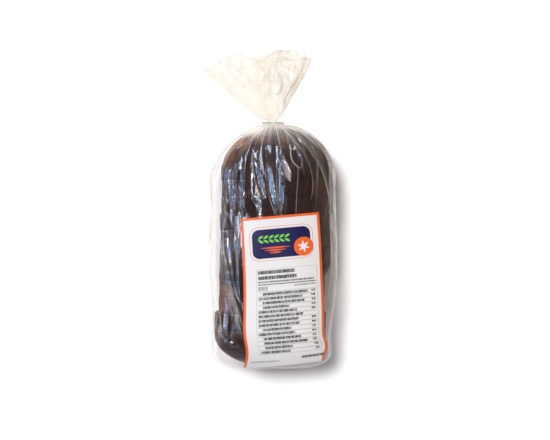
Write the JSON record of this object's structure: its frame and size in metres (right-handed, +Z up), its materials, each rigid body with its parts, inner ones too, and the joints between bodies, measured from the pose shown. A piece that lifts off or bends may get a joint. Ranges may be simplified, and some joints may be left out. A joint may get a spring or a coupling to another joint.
{
  "type": "bagged sliced tin loaf",
  "caption": "Sliced dark tin loaf in a clear film bag, gathered at the neck by a flat clip, with a printed label over its crown and end.",
  "frame": {"origin": "on the surface the pack lies on, under the centre of its bounding box", "axes": "+Y along the loaf towards the gathered neck, +X to the right seen from above with the neck away, +Z up through the crown"},
  "size_m": [0.1306, 0.3215, 0.095],
  "materials": {
    "crust": "dark baked crust and close crumb, seen through clear film",
    "film": "thin clear film, creased, milky where it is gathered",
    "label_paper": "white paper with an orange border and printed fields, satin",
    "clip_plastic": "white moulded plastic"
  },
  "bodies": {
    "root": {"bag": "crust", "clip": "clip_plastic", "label": "label_paper"}
  },
  "joints": []
}
